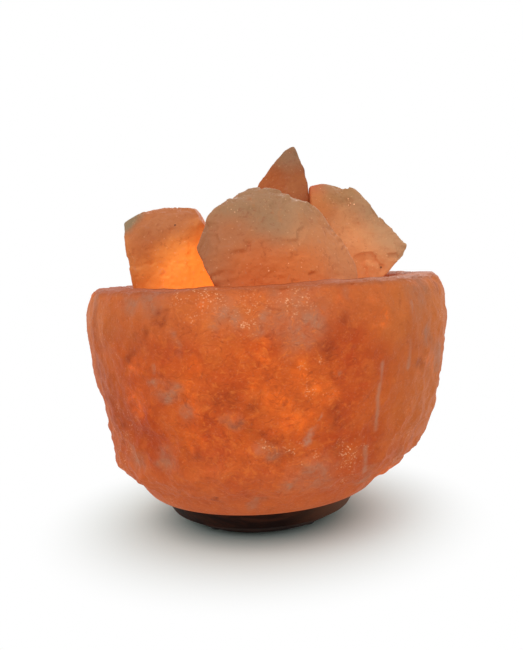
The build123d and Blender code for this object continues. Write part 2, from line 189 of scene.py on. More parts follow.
def srgb(red, green, blue):
    # A screen colour from 0 to 255 as the linear values that sockets take.
    values = [channel / 255 for channel in (red, green, blue)]
    return tuple(v / 12.92 if v <= 0.04045 else ((v + 0.055) / 1.055) ** 2.4 for v in values) + (1.0,)


class Field:
    # A node's output. Sums and products of fields and numbers add Math nodes.
    def __init__(self, recipe, socket):
        self.recipe = recipe
        self.socket = socket

    def join(self, operation, other, swapped=False):
        first, second = (other, self) if swapped else (self, other)
        return self.recipe.node("Math", {"operation": operation}, {0: first, 1: second})

    def __add__(self, other):
        return self.join("ADD", other)

    def __radd__(self, other):
        return self.join("ADD", other, True)

    def __sub__(self, other):
        return self.join("SUBTRACT", other)

    def __rsub__(self, other):
        return self.join("SUBTRACT", other, True)

    def __mul__(self, other):
        return self.join("MULTIPLY", other)

    def __rmul__(self, other):
        return self.join("MULTIPLY", other, True)

    def __truediv__(self, other):
        return self.join("DIVIDE", other)

    def __rtruediv__(self, other):
        return self.join("DIVIDE", other, True)

    def atLeast(self, other):
        return self.join("MAXIMUM", other)

    def step(self, low, high):
        # 0 at low and 1 at high, softly between and level beyond, also where low is the larger.
        if low > high:
            return 1 - self.step(high, low)
        sockets = {"Value": self, "From Min": low, "From Max": high, "To Min": 0.0, "To Max": 1.0}
        return self.recipe.node("MapRange", {"interpolation_type": "SMOOTHSTEP"}, sockets)

    def band(self, low, high, share):
        return self.step(low, high) * share


class Recipe:
    # A material's node tree, with the principled shader at its end.
    def __init__(self, name, **constants):
        self.material = bpy.data.materials.new(name)
        self.material.use_nodes = True
        self.tree = self.material.node_tree
        self.tree.nodes.clear()
        self.shader = self.tree.nodes.new("ShaderNodeBsdfPrincipled")
        self.output = self.tree.nodes.new("ShaderNodeOutputMaterial")
        self.tree.links.new(self.shader.outputs[0], self.output.inputs["Surface"])
        self.set(**constants)

    def set(self, **sockets):
        for socket, value in sockets.items():
            self.feed(self.shader.inputs[socket.replace("_", " ")], value)

    def feed(self, socket, value):
        if isinstance(value, Field):
            self.tree.links.new(value.socket, socket)
        else:
            socket.default_value = value

    def node(self, kind, settings=None, sockets=None, out=None):
        # The settings come first, because they decide which sockets the node has.
        made = self.tree.nodes.new("ShaderNode" + kind)
        for key, value in (settings or {}).items():
            setattr(made, key, value)
        for key, value in (sockets or {}).items():
            matching = [s for s in made.inputs if s.enabled and key in (s.name, s.identifier)]
            self.feed(matching[0] if matching else made.inputs[key], value)
        if out is not None:
            return Field(self, made.outputs[out])
        return Field(self, next(s for s in made.outputs if s.enabled))

    def place(self):
        return self.node("TexCoord", out="Object")

    def vector(self, operation, first, second):
        return self.node("VectorMath", {"operation": operation}, {0: first, 1: second})

    def stretched(self, place, scale):
        return self.vector("MULTIPLY", place, scale)

    def scaled(self, colour, share):
        return self.node("VectorMath", {"operation": "SCALE"}, {0: colour, "Scale": share})

    def axis(self, place, letter):
        return self.node("SeparateXYZ", sockets={"Vector": place}, out=letter)

    def noise(self, place, size, detail=4.0, rough=0.55, distortion=0.0, out=None):
        # size is the width of a patch in millimetres.
        sockets = {"Vector": place, "Scale": 1000 / size, "Detail": detail,
                   "Roughness": rough, "Distortion": distortion}
        return self.node("TexNoise", {"noise_dimensions": "3D"}, sockets, out)

    def swirl(self, place, size, amount):
        # The place, shaken by up to amount millimetres, so that edges laid over it turn ragged.
        shaking = self.noise(place, size, 3.0, 0.5, out="Color")
        centred = self.vector("SUBTRACT", shaking, (0.5, 0.5, 0.5))
        return self.vector("ADD", place, self.scaled(centred, 2 * amount * mm))

    def raggedNoise(self, place, swirlSize, swirlAmount, size, detail=4.0, rough=0.55, distortion=0.0):
        return self.noise(self.swirl(place, swirlSize, swirlAmount), size, detail, rough, distortion)

    def cells(self, place, size):
        # The distance to the nearest of one spot per cell, in widths of a cell.
        settings = {"voronoi_dimensions": "3D", "feature": "F1"}
        return self.node("TexVoronoi", settings, {"Vector": place, "Scale": 1000 / size}, out="Distance")

    def distance(self, place, spot):
        # Metres from a spot given in millimetres.
        spotInMetres = tuple(c * mm for c in spot)
        return self.node("VectorMath", {"operation": "DISTANCE"}, {0: place, 1: spotInMetres}, out="Value")

    def near(self, place, spot, reach):
        # 1 within about a third of reach millimetres of the spot, fading to 0 at reach.
        return (self.distance(place, spot) / (reach * mm)).step(1.0, 0.35)

    def mix(self, share, first, second):
        return self.node("Mix", {"data_type": "RGBA"}, {"Factor": share, "A": first, "B": second}, out=2)

    def layered(self, tone, *layers):
        # Each layer is a share and the colour that it mixes in, from the lowest up.
        for share, colour in layers:
            tone = self.mix(share, tone, colour)
        return tone

    def attribute(self, name):
        return self.node("Attribute", {"attribute_name": name}, out="Fac")

    def bump(self, height, depth):
        # depth is the height of a full step in millimetres.
        return self.node("Bump", sockets={"Height": height, "Strength": 1.0, "Distance": depth * mm})


report("tools ready")

# ---- the salt bowl: one closed skin, turned round a middle that leans, then broken and chipped

bowl = {
    "columns": 510,
    "frontCrowding": 0.4,     # columns stand this much closer in front, and as much wider behind
    "undersideRows": 30,
    "flankRows": 78,
    "shoulderRows": 26,
    "rimRows": 13,
    "cavityRows": 32,
    "floorRows": 8,
    "boreRows": 8,
    "belowRows": 7,
    "seatRadius": 52.5,
    "seatForward": 3.0,       # the foot sits this far forward of the bore
    "kneeHeight": 22.0,
    "kneeRadius": 77.4,
    "mouthHeight": 77.0,
    "mouthRadius": 86.0,
    "lipRadius": 79.4,
    "undersideBulge": 5.6,
    "flankBulge": 1.2,
    "lean": 7.0,
    "cavityRadius": 66.0,
    "cavityStart": 0.97,      # share of the height over the cavity's floor, where the bevel ends
    "floorRadius": 40.0,
    "belly": 6.2,
    "floorHeight": 28.0,
    "boreRadius": 20.0,
    "rimBevel": 2.0,
    "leastDepth": 0.45,       # taken off wherever the bowl is broken, times the share there
    "scoopSizes": (22.0, 8.0),
    "scoopDepths": (0.9, 0.9),
    "shakeShare": 0.25,       # scoops are shaken by this share of their size
    "shakeSize": 1.5,         # and by lumps of this many times their size
    "crumpleSize": 11.0,
    "crumpleDepth": 0.6,
    "grainSize": 2.6,
    "grainDepth": 0.4,
    "footFade": 6.0,          # the breaking starts over this height from the seat
    "lowBreaking": 0.8,       # further share of the depth below the knee
    "rimBreaking": 0.7,
    "cavityBreaking": 0.6,
    "floorBreaking": 0.5,
    "boreBreaking": 0.15,
    "rimChipSize": 9.0,
    "rimChipDepth": 1.1,
    "rimChipLevels": (0.05, 0.7),
    "rimChipDrop": (9.0, 1.0),        # below the rim, where the chips start and are full
    "rimChipRadius": (67.0, 75.0),    # the same across the rim's flat
    "seed": 11,
    "cornerSpot": (84.2, 0, 113.5),   # a flat takes off the outer corner of the rim at the right
    "cornerOutward": (0.84, 0, 0.54),
}
bowlLow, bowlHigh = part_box("salt_bowl")
seatLevel = bowlLow[2] / mm
rimLevel = bowlHigh[2] / mm


def bowed(start, end, bulge, way):
    # From start to end in a straight line, bowed out by a half sine.
    return start + (end - start) * way + bulge * np.sin(math.pi * way)


def bowlRadius(height):
    # Two bowed stretches, foot to knee and knee to mouth, then a quarter ellipse over to the lip.
    s = bowl
    low = np.clip(height / s["kneeHeight"], 0, 1)
    under = bowed(s["seatRadius"], s["kneeRadius"], s["undersideBulge"], low)
    mid = np.clip((height - s["kneeHeight"]) / (s["mouthHeight"] - s["kneeHeight"]), 0, 1)
    flank = bowed(s["kneeRadius"], s["mouthRadius"], s["flankBulge"], mid)
    high = np.clip((height - s["mouthHeight"]) / (rimLevel - seatLevel - s["mouthHeight"]), 0, 1)
    shoulder = s["mouthRadius"] - (s["mouthRadius"] - s["lipRadius"]) * (1 - np.sqrt(1 - high * high))
    return np.where(height <= s["kneeHeight"], under, np.where(height <= s["mouthHeight"], flank, shoulder))


def bowlLean(height):
    # The middle moves over along a quarter sine until half of the height.
    return bowl["lean"] * np.sin(math.pi / 2 * np.minimum(1, 2 * height / (rimLevel - seatLevel)))


def section(radius, height, middle=0.0, forward=0.0, breaking=0.0, chips=0.0):
    # One stretch of the bowl's section, as six rows of equal length.
    return np.stack(np.broadcast_arrays(radius, height, middle, forward, breaking, chips))


def bowlProfile():
    # Radius, height above the seat, middle, forward step, and the shares of the breaking and of the
    # rim's chips, round the whole section: up the outside, over the rim, down the cavity, along its
    # floor, down the bore and out below. The cavity's wall is a slope bowed out by a half sine.
    s = bowl
    tall = rimLevel - seatLevel
    knee, mouth, lean = s["kneeHeight"], s["mouthHeight"], s["lean"]
    turn = np.linspace(0, math.pi / 2, s["shoulderRows"])[1:]
    outside = np.concatenate([
        np.linspace(0, knee, s["undersideRows"]),
        np.linspace(knee, mouth, s["flankRows"])[1:],
        mouth + (tall - mouth) * np.sin(turn),
    ])
    footStep = s["seatForward"] * np.maximum(0, 1 - outside / knee)
    breaking = smoothStep(0, s["footFade"], outside) * (
        1 + s["lowBreaking"] * smoothStep(3 * knee, knee, outside))
    firstChips, fullChips = s["rimChipDrop"]
    chips = smoothStep(tall - firstChips, tall - fullChips, outside)
    rim = np.linspace(s["lipRadius"], s["cavityRadius"] + s["rimBevel"], s["rimRows"])[1:]
    way = np.linspace(s["cavityStart"], 0, s["cavityRows"])
    wide, deep = s["cavityRadius"] - s["floorRadius"], tall - s["floorHeight"]
    bow = s["belly"] * np.sin(math.pi * way) / math.hypot(wide, deep)
    floor = np.linspace(s["floorRadius"], s["boreRadius"], s["floorRows"])[1:]
    floorWay = (floor - s["boreRadius"]) / (s["floorRadius"] - s["boreRadius"])
    bore = np.linspace(s["floorHeight"], 0, s["boreRows"])[1:]
    below = np.linspace(s["boreRadius"], s["seatRadius"], s["belowRows"])[1:-1]
    belowWay = (below - s["boreRadius"]) / (s["seatRadius"] - s["boreRadius"])
    return np.concatenate([
        section(bowlRadius(outside), outside, bowlLean(outside), footStep, breaking, chips),
        section(rim, tall, lean, 0.0, s["rimBreaking"], smoothStep(*s["rimChipRadius"], rim)),
        section(s["floorRadius"] + wide * way + bow * deep, s["floorHeight"] + deep * way - bow * wide,
                lean, 0.0, s["cavityBreaking"]),
        section(floor, s["floorHeight"], floorWay * lean, 0.0, s["floorBreaking"] * floorWay),
        section(s["boreRadius"], bore, breaking=s["boreBreaking"]),
        section(below, 0.0, forward=s["seatForward"] * belowWay),
    ], axis=1)


def carveBowl():
    # Every point goes in along its normal by scoops of two sizes, a crumple and a fine grain; near
    # the outer edge of the rim by chips as well, where a noise is high. What stands past the
    # corner's flat is pressed onto it, and all of it into the box of the CAD bowl.
    s = bowl
    radius, height, middle, forward, breaking, chips = (row[:, None] for row in bowlProfile())
    turn = np.linspace(0, 2 * math.pi, s["columns"], endpoint=False)[None, :]
    angle = turn - s["frontCrowding"] * np.sin(turn) - math.pi / 2
    points = np.stack(np.broadcast_arrays(
        middle + radius * np.cos(angle), radius * np.sin(angle) - forward, seatLevel + height), axis=-1)
    depth = np.full(points.shape[:2], s["leastDepth"])
    for k, (size, deep) in enumerate(zip(s["scoopSizes"], s["scoopDepths"])):
        shaking = s["shakeShare"] * size * stir(points, size * s["shakeSize"], s["seed"] + 40)
        depth = depth + deep * scoops(points + shaking, size, s["seed"] + 7 * k)
    depth = roughen(depth, points, s, s["seed"])
    chipped = smoothStep(*s["rimChipLevels"], crumple(points, s["rimChipSize"], s["seed"] + 9, 3))
    depth = depth * breaking + s["rimChipDepth"] * chipped * chips
    points = points - gridNormals(points, True) * depth[..., None]
    outward = np.array(s["cornerOutward"]) / np.linalg.norm(s["cornerOutward"])
    over = np.maximum((points - s["cornerSpot"]) @ outward, 0) * (points[..., 0] > s["cavityRadius"])
    low, high = (np.array(corner) / mm for corner in (bowlLow, bowlHigh))
    return np.clip(points - over[..., None] * outward, low, high)


# Marks that the salt shows, each (x, y, z, reach): clouded mauve, dark stains, painted light in spots
# that the bulb lights through, painted glints where the crystal sparkles, and pale bruises.
bowlMarks = {
    "mauve": (
        (-10, -82, 102, 7.5), (-15, -81, 96, 2.8), (-39, -67, 110, 8.0), (-46, -63, 108, 5.5),
        (-30, -75, 88, 2.4), (-30, -75, 94, 2.4), (-37, -70, 82, 2.0), (-37, -68, 76, 2.0),
        (-30, -73, 76, 4.0), (17, -84, 100, 11.5), (16, -82, 110, 9.5), (36, -76, 110, 3.4),
        (39, -76, 82, 2.0), (40, -77, 90, 2.0), (69, -55, 106, 9.5), (73, -50, 88, 5.0),
        (2, -84, 100, 5.0), (-34, -70, 72, 4.5), (-26, -72, 64, 3.2), (-37, -62, 46, 6.0),
        (-7, -78, 62, 3.6), (-50, -50, 40, 6.5), (4, -76, 48, 4.6), (21, -71, 36, 9.5),
        (11, -69, 32, 4.2), (45, -55, 32, 5.0), (-1, -61, 22, 4.0),
    ),
    "stain": (
        (-32, -73, 106, 2.7), (-36, -71, 106, 2.6), (-34, -73, 100, 3.9), (-40, -70, 96, 2.6),
        (-33, -71, 78, 2.2), (-46, -63, 84, 3.6), (36, -79, 98, 2.2), (32, -80, 100, 2.2),
        (33, -78, 80, 2.0), (33, -79, 88, 3.9), (30, -81, 92, 5.2), (51, -68, 110, 1.5),
        (47, -69, 112, 1.8), (62, -63, 100, 1.5), (60, -64, 104, 1.4), (62, -59, 72, 1.4),
        (13, -81, 112, 2.6), (68, -54, 76, 3.4), (-28, -73, 70, 1.8), (-8, -79, 70, 4.2),
        (-1, -80, 68, 4.2), (-7, -78, 62, 3.2), (-2, -78, 60, 3.6), (-27, -70, 52, 4.2),
        (-56, -47, 62, 2.0), (-55, -47, 56, 4.0), (-60, -35, 42, 3.0), (-49, -48, 36, 2.5),
        (-19, -62, 26, 1.8), (33, -73, 56, 4.2), (33, -70, 44, 4.2), (18, -56, 22, 2.4),
        (8, -76, 48, 5.4), (4, -78, 54, 5.4), (32, -75, 62, 3.8), (79, -39, 108, 4.2),
    ),
    "lit": (
        (-18, -80, 102, 4.0), (-36, -72, 92, 2.4), (-44, -65, 80, 5.0), (1, -84, 88, 6.4),
        (-23, -77, 78, 5.6), (5, -82, 80, 6.4), (17, -82, 80, 6.0), (25, -80, 74, 4.6),
        (30, -79, 76, 3.4), (32, -79, 108, 3.4), (-46, -61, 70, 6.6), (-25, -75, 72, 4.4),
        (-21, -74, 64, 3.0), (-7, -79, 64, 3.0), (15, -79, 64, 6.0), (8, -81, 70, 6.0),
        (26, -79, 70, 5.0), (31, -76, 68, 4.4), (-24, -72, 56, 4.0), (5, -81, 70, 3.0),
        (51, -72, 98, 7.0),
    ),
    "sparkle": (
        (-3, -83, 104, 7.2), (-18, -79, 106, 6.4), (-16, -81, 96, 2.2), (-23, -79, 98, 1.9),
        (-26, -75, 110, 5.2), (16, -82, 106, 7.2), (31, -77, 112, 2.9), (24, -80, 110, 2.5),
        (27, -81, 86, 2.9), (20, -82, 82, 2.9), (21, -81, 76, 2.9), (31, -77, 70, 2.9),
        (13, -76, 52, 4.3), (13, -75, 46, 2.3), (23, -73, 46, 2.3), (19, -74, 44, 2.9),
        (37, -67, 42, 7.8), (35, -63, 34, 4.3), (-14, -72, 40, 1.9), (4, -77, 50, 2.9),
    ),
    "bruise": ((20, -76, 54, 2.7), (22, -77, 56, 2.2), (23, -77, 58, 1.4), (25, -77, 62, 1.2)),
}
# Straight pale scratches, each from one point to another.
bowlScratches = (
    ((64, -61, 102), (62, -60, 76)),
    ((50, -70, 80), (48, -68, 66)),
    ((48, -68, 66), (48, -64, 52)),
    ((43, -65, 46), (43, -59, 34)),
)
marking = {
    "shakes": ((16.0, 4.0), (7.0, 2.6), (2.6, 1.4)),    # size of the lumps and how far they shake
    "shakeSeed": 300,
    "edge": (0.1, 1.5),       # in reaches from a mark's middle, where it starts to fade and ends
    "scratchEdge": (0.4, 1.5),
    "thinnedTo": 0.45,        # a noise thins every mark to this share in places
    "thinSize": 4.5,
    "thinLevels": (-0.5, 0.5),
    "thinSeed": 400,
    "behindFrom": (-62, -38),  # over this stretch of Y marks made by noise set in
    "behindShare": 0.6,
    "behindSize": 19,
    "behindLevels": (0.3, 0.75),
    "behindSeed": 330,
    "frontOnly": ("bruise",),
}


def markBowl(points):
    # Each mark is 1 near its middle and fades to 0 past its reach, after the points are shaken so
    # that its edge turns ragged, and a noise thins it in places. Away from the front, where no mark
    # is listed, a noise above a level makes fainter ones. A scratch fades by the distance to
    # its line.
    s = marking
    shaken = points
    for size, amount in s["shakes"]:
        shaken = shaken + amount * stir(points, size, s["shakeSeed"])
    behind = s["behindShare"] * smoothStep(*s["behindFrom"], points[..., 1])
    found = {}
    for number, (mark, spots) in enumerate(bowlMarks.items()):
        noise = crumple(points, s["behindSize"], s["behindSeed"] + 10 * number)
        share = behind * smoothStep(*s["behindLevels"], noise) * (mark not in s["frontOnly"])
        for x, y, z, reach in spots:
            away = np.linalg.norm(shaken - (x, y, z), axis=-1) / reach
            share = np.maximum(share, 1 - smoothStep(*s["edge"], away))
        thinning = smoothStep(*s["thinLevels"], crumple(points, s["thinSize"], s["thinSeed"] + number))
        found[mark] = share * (s["thinnedTo"] + (1 - s["thinnedTo"]) * thinning)
    scratch = np.zeros(points.shape[:2])
    for start, end in bowlScratches:
        way = np.subtract(end, start)
        along = np.clip(((points - start) @ way) / (way @ way), 0, 1)
        away = np.linalg.norm(points - start - along[..., None] * way, axis=-1)
        scratch = np.maximum(scratch, 1 - smoothStep(*s["scratchEdge"], away))
    found["scratch"] = scratch
    return found


bowlPoints = carveBowl()
bowlSkin = gridMesh("bowl_skin", bowlPoints, loopRows=True, marks=markBowl(bowlPoints))
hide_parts("salt_bowl")
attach(bowlSkin, "lamp")
report("bowl carved")

# ---- the stones: the flats of each CAD stone, blended into one broken surface

stones = {
    "rows": 170,
    "columns": 240,
    "hiddenRows": 60,
    "hiddenColumns": 90,
    "sharpness": 60.0,        # the higher, the closer to the CAD stone's flats
    "leastDepth": 0.1,
    "scoopSize": 12.0,
    "scoopDepth": 0.8,
    "crumpleSize": 8.0,
    "crumpleDepth": 0.8,
    "chipSize": 4.6,
    "chipDepth": 1.4,
    "chipsOnFlats": 0.15,
    "chipLevels": (0.0, 0.35),
    "edgeLevels": (0.9, 0.99),  # how near the second flat has to be, against the nearest
    "grainSize": 1.7,
    "grainDepth": 0.3,
    "seed": 100,
    "seedStep": 13,
    "wholeCore": 0.5,         # share of a whole spot's reach within which nothing is broken
    "cornerDigits": 5,        # corners this alike, in metres, are one
    "flatDigits": 2,
    "leastReach": 0.5,        # nearer to the middle than this, a flat is left out
}
# What each shown stone has of its own. A cut is a flat through a spot with an outward direction;
# whole is a spot, its reach and how far the surface stands out there in place of being broken.
stoneShapes = {
    "left_block": {"scoopSize": 16.0, "scoopDepth": 0.4, "chipDepth": 0.8, "cuts": (
        ((-56.6, -15, 141.0), (-0.99, 0, -0.13)),)},
    "front_boulder": {"scoopSize": 11.0, "scoopDepth": 0.6, "chipDepth": 1.3, "cuts": (
        ((-22.6, -45, 130.0), (-0.914, 0, -0.406)),)},
    "right_slab": {"scoopSize": 11.0, "scoopDepth": 1.5, "crumpleSize": 7.0, "chipSize": 5.2,
                   "chipDepth": 2.2, "whole": ((33, 8, 150), 15, 1.1), "cuts": (
        ((57, 6, 151), (0.809, 0, 0.588)),)},
    "back_spire": {"scoopSize": 12.0, "scoopDepth": 1.0, "crumpleDepth": 0.6,
                   "whole": ((31, 10, 152), 12, 0.0)},
}
shownStones = ("left_block", "front_boulder", "right_slab", "back_spire", "right_middle",
               "corner_top", "back_left_top", "back_middle")
stoneBodies = sorted(n[len("stone_"):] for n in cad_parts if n.startswith("stone_"))


def readVectors(items, field):
    # One row of three numbers for each of a mesh's vertices or polygons.
    values = np.empty(3 * len(items), dtype=np.float32)
    items.foreach_get(field, values)
    return values.reshape(-1, 3).astype(float)


def stoneFlats(node):
    # The mean corner of a CAD stone and, for each of its flats, the unit normal and the distance of
    # its plane from that mean. The triangles of one flat round to the same four numbers.
    s = stones
    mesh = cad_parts[node].data
    corners = readVectors(mesh.vertices, "co")
    normals = readVectors(mesh.polygons, "normal")
    middle = np.unique(np.round(corners, s["cornerDigits"]), axis=0).mean(axis=0)
    reaches = ((readVectors(mesh.polygons, "center") - middle) * normals).sum(axis=1) / mm
    flats = np.unique(np.round(np.c_[normals, reaches], s["flatDigits"]), axis=0)
    flats = flats[flats[:, 3] > s["leastReach"]]
    return middle / mm, flats[:, :3], flats[:, 3]


def directions(rows, columns):
    # Unit directions by latitude and longitude, then a row of straight down and one of straight up.
    lift = np.linspace(-math.pi / 2, math.pi / 2, rows + 2)[1:-1, None]
    angle = np.linspace(0, 2 * math.pi, columns, endpoint=False)[None, :]
    way = np.stack(np.broadcast_arrays(
        np.cos(lift) * np.cos(angle), np.cos(lift) * np.sin(angle), np.sin(lift)), axis=-1)
    poles = [np.broadcast_to(np.array([0, 0, end]), (1, columns, 3)) for end in (-1.0, 1.0)]
    return np.concatenate([way, *poles])


def breakStone(body, seed):
    # For a direction, each flat gives the cosine to its normal over its distance; the surface
    # stands at 1 over the power mean of the positive ones, so it stays inside every flat. Scoops,
    # a crumple, a grain and chips then take a little more off along the direction, the chips mostly
    # where the two nearest flats are about as near as each other, along the edges.
    s = {**stones, **stoneShapes.get(body, {})}
    middle, normals, reaches = stoneFlats(f"stone_{body}")
    for spot, outward in s.get("cuts", ()):
        outward = np.array(outward) / np.linalg.norm(outward)
        normals = np.vstack([normals, outward])
        reaches = np.append(reaches, (np.array(spot) - middle) @ outward)
    fine = body in shownStones
    rows, columns = (s["rows"], s["columns"]) if fine else (s["hiddenRows"], s["hiddenColumns"])
    way = directions(rows, columns)
    pull = np.maximum(way @ (normals / reaches[:, None]).T, 0)
    peak = pull.max(axis=-1)
    second = np.partition(pull, -2, axis=-1)[..., -2]
    powers = (pull / peak[..., None]) ** s["sharpness"]
    distance = 1 / (peak * powers.sum(axis=-1) ** (1 / s["sharpness"]))
    points = middle + way * distance[..., None]
    depth = s["leastDepth"] + s["scoopDepth"] * scoops(points, s["scoopSize"], seed)
    depth = roughen(depth, points, s, seed)
    edge = s["chipsOnFlats"] + (1 - s["chipsOnFlats"]) * smoothStep(*s["edgeLevels"], second / peak)
    chipped = smoothStep(*s["chipLevels"], crumple(points, s["chipSize"], seed + 8, 2))
    depth = depth + s["chipDepth"] * edge * chipped
    if "whole" in s:
        spot, reach, out = s["whole"]
        away = np.linalg.norm(points - spot, axis=-1)
        share = 1 - smoothStep(s["wholeCore"] * reach, reach, away)
        depth = depth * (1 - share) - out * share
    points = middle + way * (distance - depth)[..., None]
    return gridMesh(f"broken_{body}", points[:-2], poles=points[-2:, 0])


stonePieces = {}
for number, body in enumerate(stoneBodies):
    stone = breakStone(body, stones["seed"] + stones["seedStep"] * number)
    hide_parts(f"stone_{body}")
    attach(stone, body)
    stonePieces[body] = stone
report("stones broken")

# ---- salt

saltLook = {
    "deep": srgb(182, 66, 18),
    "orange": srgb(198, 84, 26),
    "fold": srgb(220, 112, 44),
    "tan": srgb(204, 116, 54),
    "crest": srgb(206, 112, 54),
    "foot": srgb(188, 94, 50),
    "mauve": srgb(176, 114, 86),
    "stain": srgb(138, 44, 12),
    "lit": srgb(240, 104, 20),
    # painted glints on the crystal
    "spark": srgb(255, 196, 150),
    "bruise": srgb(186, 126, 100),
    "rim": srgb(160, 78, 40),
    "rimGrey": srgb(160, 96, 66),
}

saltShine = {"IOR": 1.54, "Specular_IOR_Level": 0.2, "Emission_Strength": 1.0}
saltGrain = {"lumpShare": 0.55, "grainShare": 0.25, "shellShare": 0.12, "dustShare": 0.1}


def paintedGlints(m, place, cellSize, cellLevels, thinSize, thinLevels, stretch=None):
    # Painted glints: small bright specks in the middles of cells, where a noise is high.
    cellPlace = m.stretched(place, stretch) if stretch else place
    return m.cells(cellPlace, cellSize).step(*cellLevels) * m.noise(place, thinSize, 2).step(*thinLevels)


def finishSalt(m, place, tone, glow, glintSpeck, s):
    # Broken salt has large lumps, a grain a third of their size, shell-like cells and a dust a
    # ninth of it. It glows in its own tone, and its specks of painted glint are smoother than the rest.
    size, depth = s["lumps"]
    least, more, smoother = s["rough"]
    grain = saltGrain
    height = (grain["lumpShare"] * m.noise(place, size, 4)
              + grain["grainShare"] * m.noise(place, size / 3, 4, 0.65)
              + grain["shellShare"] * m.cells(m.swirl(place, size, size / 3), size / 2.2)
              + grain["dustShare"] * m.noise(place, size / 9, 2))
    m.set(Base_Color=tone, Emission_Color=m.scaled(tone, glow), Normal=m.bump(height, depth),
          Roughness=least + more * m.noise(place, 5, 3) - smoother * glintSpeck)
    return m.material


# A layer lies between two values of its noise, or of the height or X in metres, from where it
# starts to where it is full. A third number is its share.
bowlLayers = {
    "raggedness": (12, 5),
    "waver": (20, 0.03),
    "fine": (5, 3, 2.8, 4, 0.65),     # a swirl's size and reach, a noise's size, detail, roughness
    "folds": (9, 5, 7, 4, 0.6),
    "rippleSwirl": (10, 6),
    "rippleStretch": (1.0, 1.0, 1.7),
    "ripple": (5, 3, 0.55, 1.6),
    "rippleNear": ((0, -84, 72), 62),
    "rippleNearShare": 0.42,
    "rippleShare": 0.1,
    "rippleLight": (0.53, 0.7),
    "rippleDark": (0.46, 0.3),
    "rippleDarkShare": 0.7,
    "clouds": (24, 5),
    "cloudLevels": (0.36, 0.62),
    "foldLight": (0.48, 0.72, 0.35),
    "foldDark": (0.45, 0.25, 0.3),
    "crest": (0.084, 0.106, 0.5),
    "right": (0.035, 0.08, 0.6),
    "left": (-0.045, -0.075, 0.4),
    "foot": (0.056, 0.018),
    "footShare": 0.6,
    "patches": (0.36, 0.6),
    "mauve": (0.6, 0.4),              # share everywhere in a mark, and further share in its patches
    "stain": (0.3, 0.4),
    "bruise": (0.4, 0.6),
    "lit": (0.25, 0.6),
    "litFolds": (0.4, 0.62),
    "litShare": 0.75,
    "rimUnder": (0.0045, 0.0012),     # metres under the rim
    "rimShare": 0.75,
    "rimTones": (0.0, 0.06),
    "scratchShare": 0.6,
    "paintedGlints": (1.4, (0.36, 0.14), 2.5, (0.45, 0.56)),
    "glints": (0.9, (0.42, 0.2), 3, (0.46, 0.58), (0.7, 1.0, 1.4)),
    "glintShare": 0.7,
    "sparklePale": 0.25,
    "glintShares": (0.7, 0.05),       # share in the sparkling marks, and everywhere
    "fineDark": (0.46, 0.3, 0.2),
    "glow": 0.17,
    "bulbGlow": 0.15,
    "bulbNear": ((2, -84, 74), 66),
    "litGlow": 0.24,
    "footGlow": 0.14,
    "stainGlow": 0.08,
    "mauveGlow": 0.05,
    "rough": (0.45, 0.25, 0.2),
    "lumps": (8, 1.6),
}


def bowlSalt():
    m = Recipe("bowlSalt", **saltShine)
    look, s = saltLook, bowlLayers
    place = m.place()
    ragged = m.swirl(place, *s["raggedness"])
    side, up = m.axis(place, "X"), m.axis(place, "Z")
    waverSize, waverDepth = s["waver"]
    wavyUp = up + (m.noise(ragged, waverSize) - 0.5) * waverDepth
    marks = {mark: m.attribute(mark) for mark in (*bowlMarks, "scratch")}
    fine = m.raggedNoise(place, *s["fine"])
    folds = m.raggedNoise(place, *s["folds"])
    ripple = m.noise(m.stretched(m.swirl(place, *s["rippleSwirl"]), s["rippleStretch"]), *s["ripple"])
    rippled = m.near(place, *s["rippleNear"]) * s["rippleNearShare"] + s["rippleShare"]
    foot = wavyUp.step(*s["foot"])
    patchy = fine.step(*s["patches"])
    shares = {mark: marks[mark] * (s[mark][0] + s[mark][1] * patchy) for mark in ("mauve", "stain", "bruise")}
    lit = marks["lit"] * (s["lit"][0] + s["lit"][1] * folds.step(*s["litFolds"]))
    top = up.step(*(rimLevel * mm - under for under in s["rimUnder"]))
    rimTone = m.mix(side.step(*s["rimTones"]), look["rim"], look["rimGrey"])
    # painted glints: small bright specks, smoother than the rest
    glintSpeck = paintedGlints(m, place, *s["paintedGlints"]).atLeast(paintedGlints(m, place, *s["glints"]) * s["glintShare"])
    sparkling, everywhere = s["glintShares"]
    tone = m.layered(
        m.mix(m.noise(ragged, *s["clouds"]).step(*s["cloudLevels"]), look["deep"], look["orange"]),
        (folds.band(*s["foldLight"]), look["fold"]),
        (folds.band(*s["foldDark"]), look["stain"]),
        (wavyUp.band(*s["crest"]), look["crest"]),
        (side.band(*s["right"]), look["tan"]),
        (side.band(*s["left"]), look["tan"]),
        (foot * s["footShare"], look["foot"]),
        (shares["mauve"], look["mauve"]),
        (shares["stain"], look["stain"]),
        (lit * s["litShare"], look["lit"]),
        (ripple.step(*s["rippleLight"]) * rippled, look["fold"]),
        (ripple.step(*s["rippleDark"]) * rippled * s["rippleDarkShare"], look["stain"]),
        (top * s["rimShare"], rimTone),
        (shares["bruise"], look["bruise"]),
        (marks["scratch"] * s["scratchShare"], look["bruise"]),
        (marks["sparkle"] * s["sparklePale"], look["fold"]),
        (glintSpeck * (sparkling * marks["sparkle"] + everywhere), look["spark"]),
        (fine.band(*s["fineDark"]), look["stain"]))
    glow = (s["glow"] + s["bulbGlow"] * m.near(place, *s["bulbNear"]) + s["litGlow"] * lit
            + s["footGlow"] * foot - s["stainGlow"] * marks["stain"] - s["mauveGlow"] * marks["mauve"])
    return finishSalt(m, place, tone, glow, glintSpeck, s)
